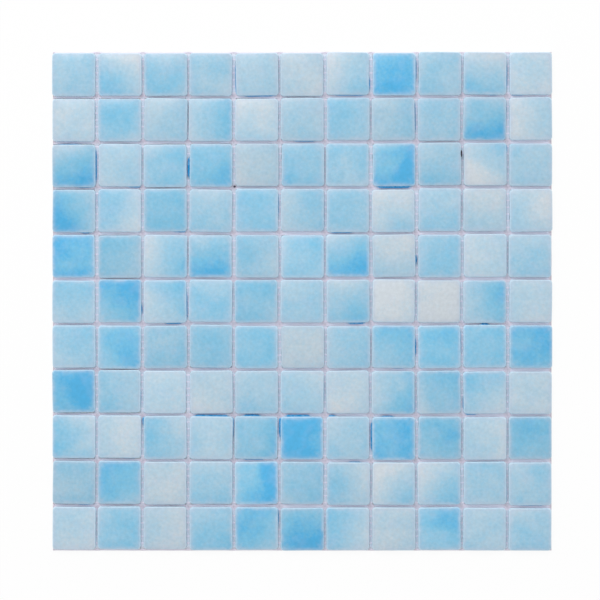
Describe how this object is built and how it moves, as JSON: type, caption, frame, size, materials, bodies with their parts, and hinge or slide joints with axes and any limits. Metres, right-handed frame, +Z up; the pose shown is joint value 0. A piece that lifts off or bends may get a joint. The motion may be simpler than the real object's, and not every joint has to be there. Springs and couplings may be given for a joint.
{
  "type": "glass mosaic tile sheet",
  "caption": "Square sheet of small frosted pale-blue glass tiles with softened edges, glued in a regular grid to an open glass-fibre mesh, for lining pools, showers and walls.",
  "frame": {"origin": "middle of the sheet's underside, on the lowest face of the mesh", "axes": "+X along the rows of tiles, +Y along the columns towards tile_row_01, +Z up out of the tiles' faces"},
  "size_m": [0.2974, 0.2974, 0.0044],
  "materials": {
    "glass": "frosted, cloudy blue-white, not see-through",
    "mesh": "coated glass-fibre strands, matte"
  },
  "bodies": {
    "root": {"tile_row_01": "glass", "tile_row_02": "glass", "tile_row_03": "glass", "tile_row_04": "glass", "tile_row_05": "glass", "tile_row_06": "glass", "tile_row_07": "glass", "tile_row_08": "glass", "tile_row_09": "glass", "tile_row_10": "glass", "tile_row_11": "glass", "mesh_warp": "mesh", "mesh_weft": "mesh"}
  },
  "joints": []
}
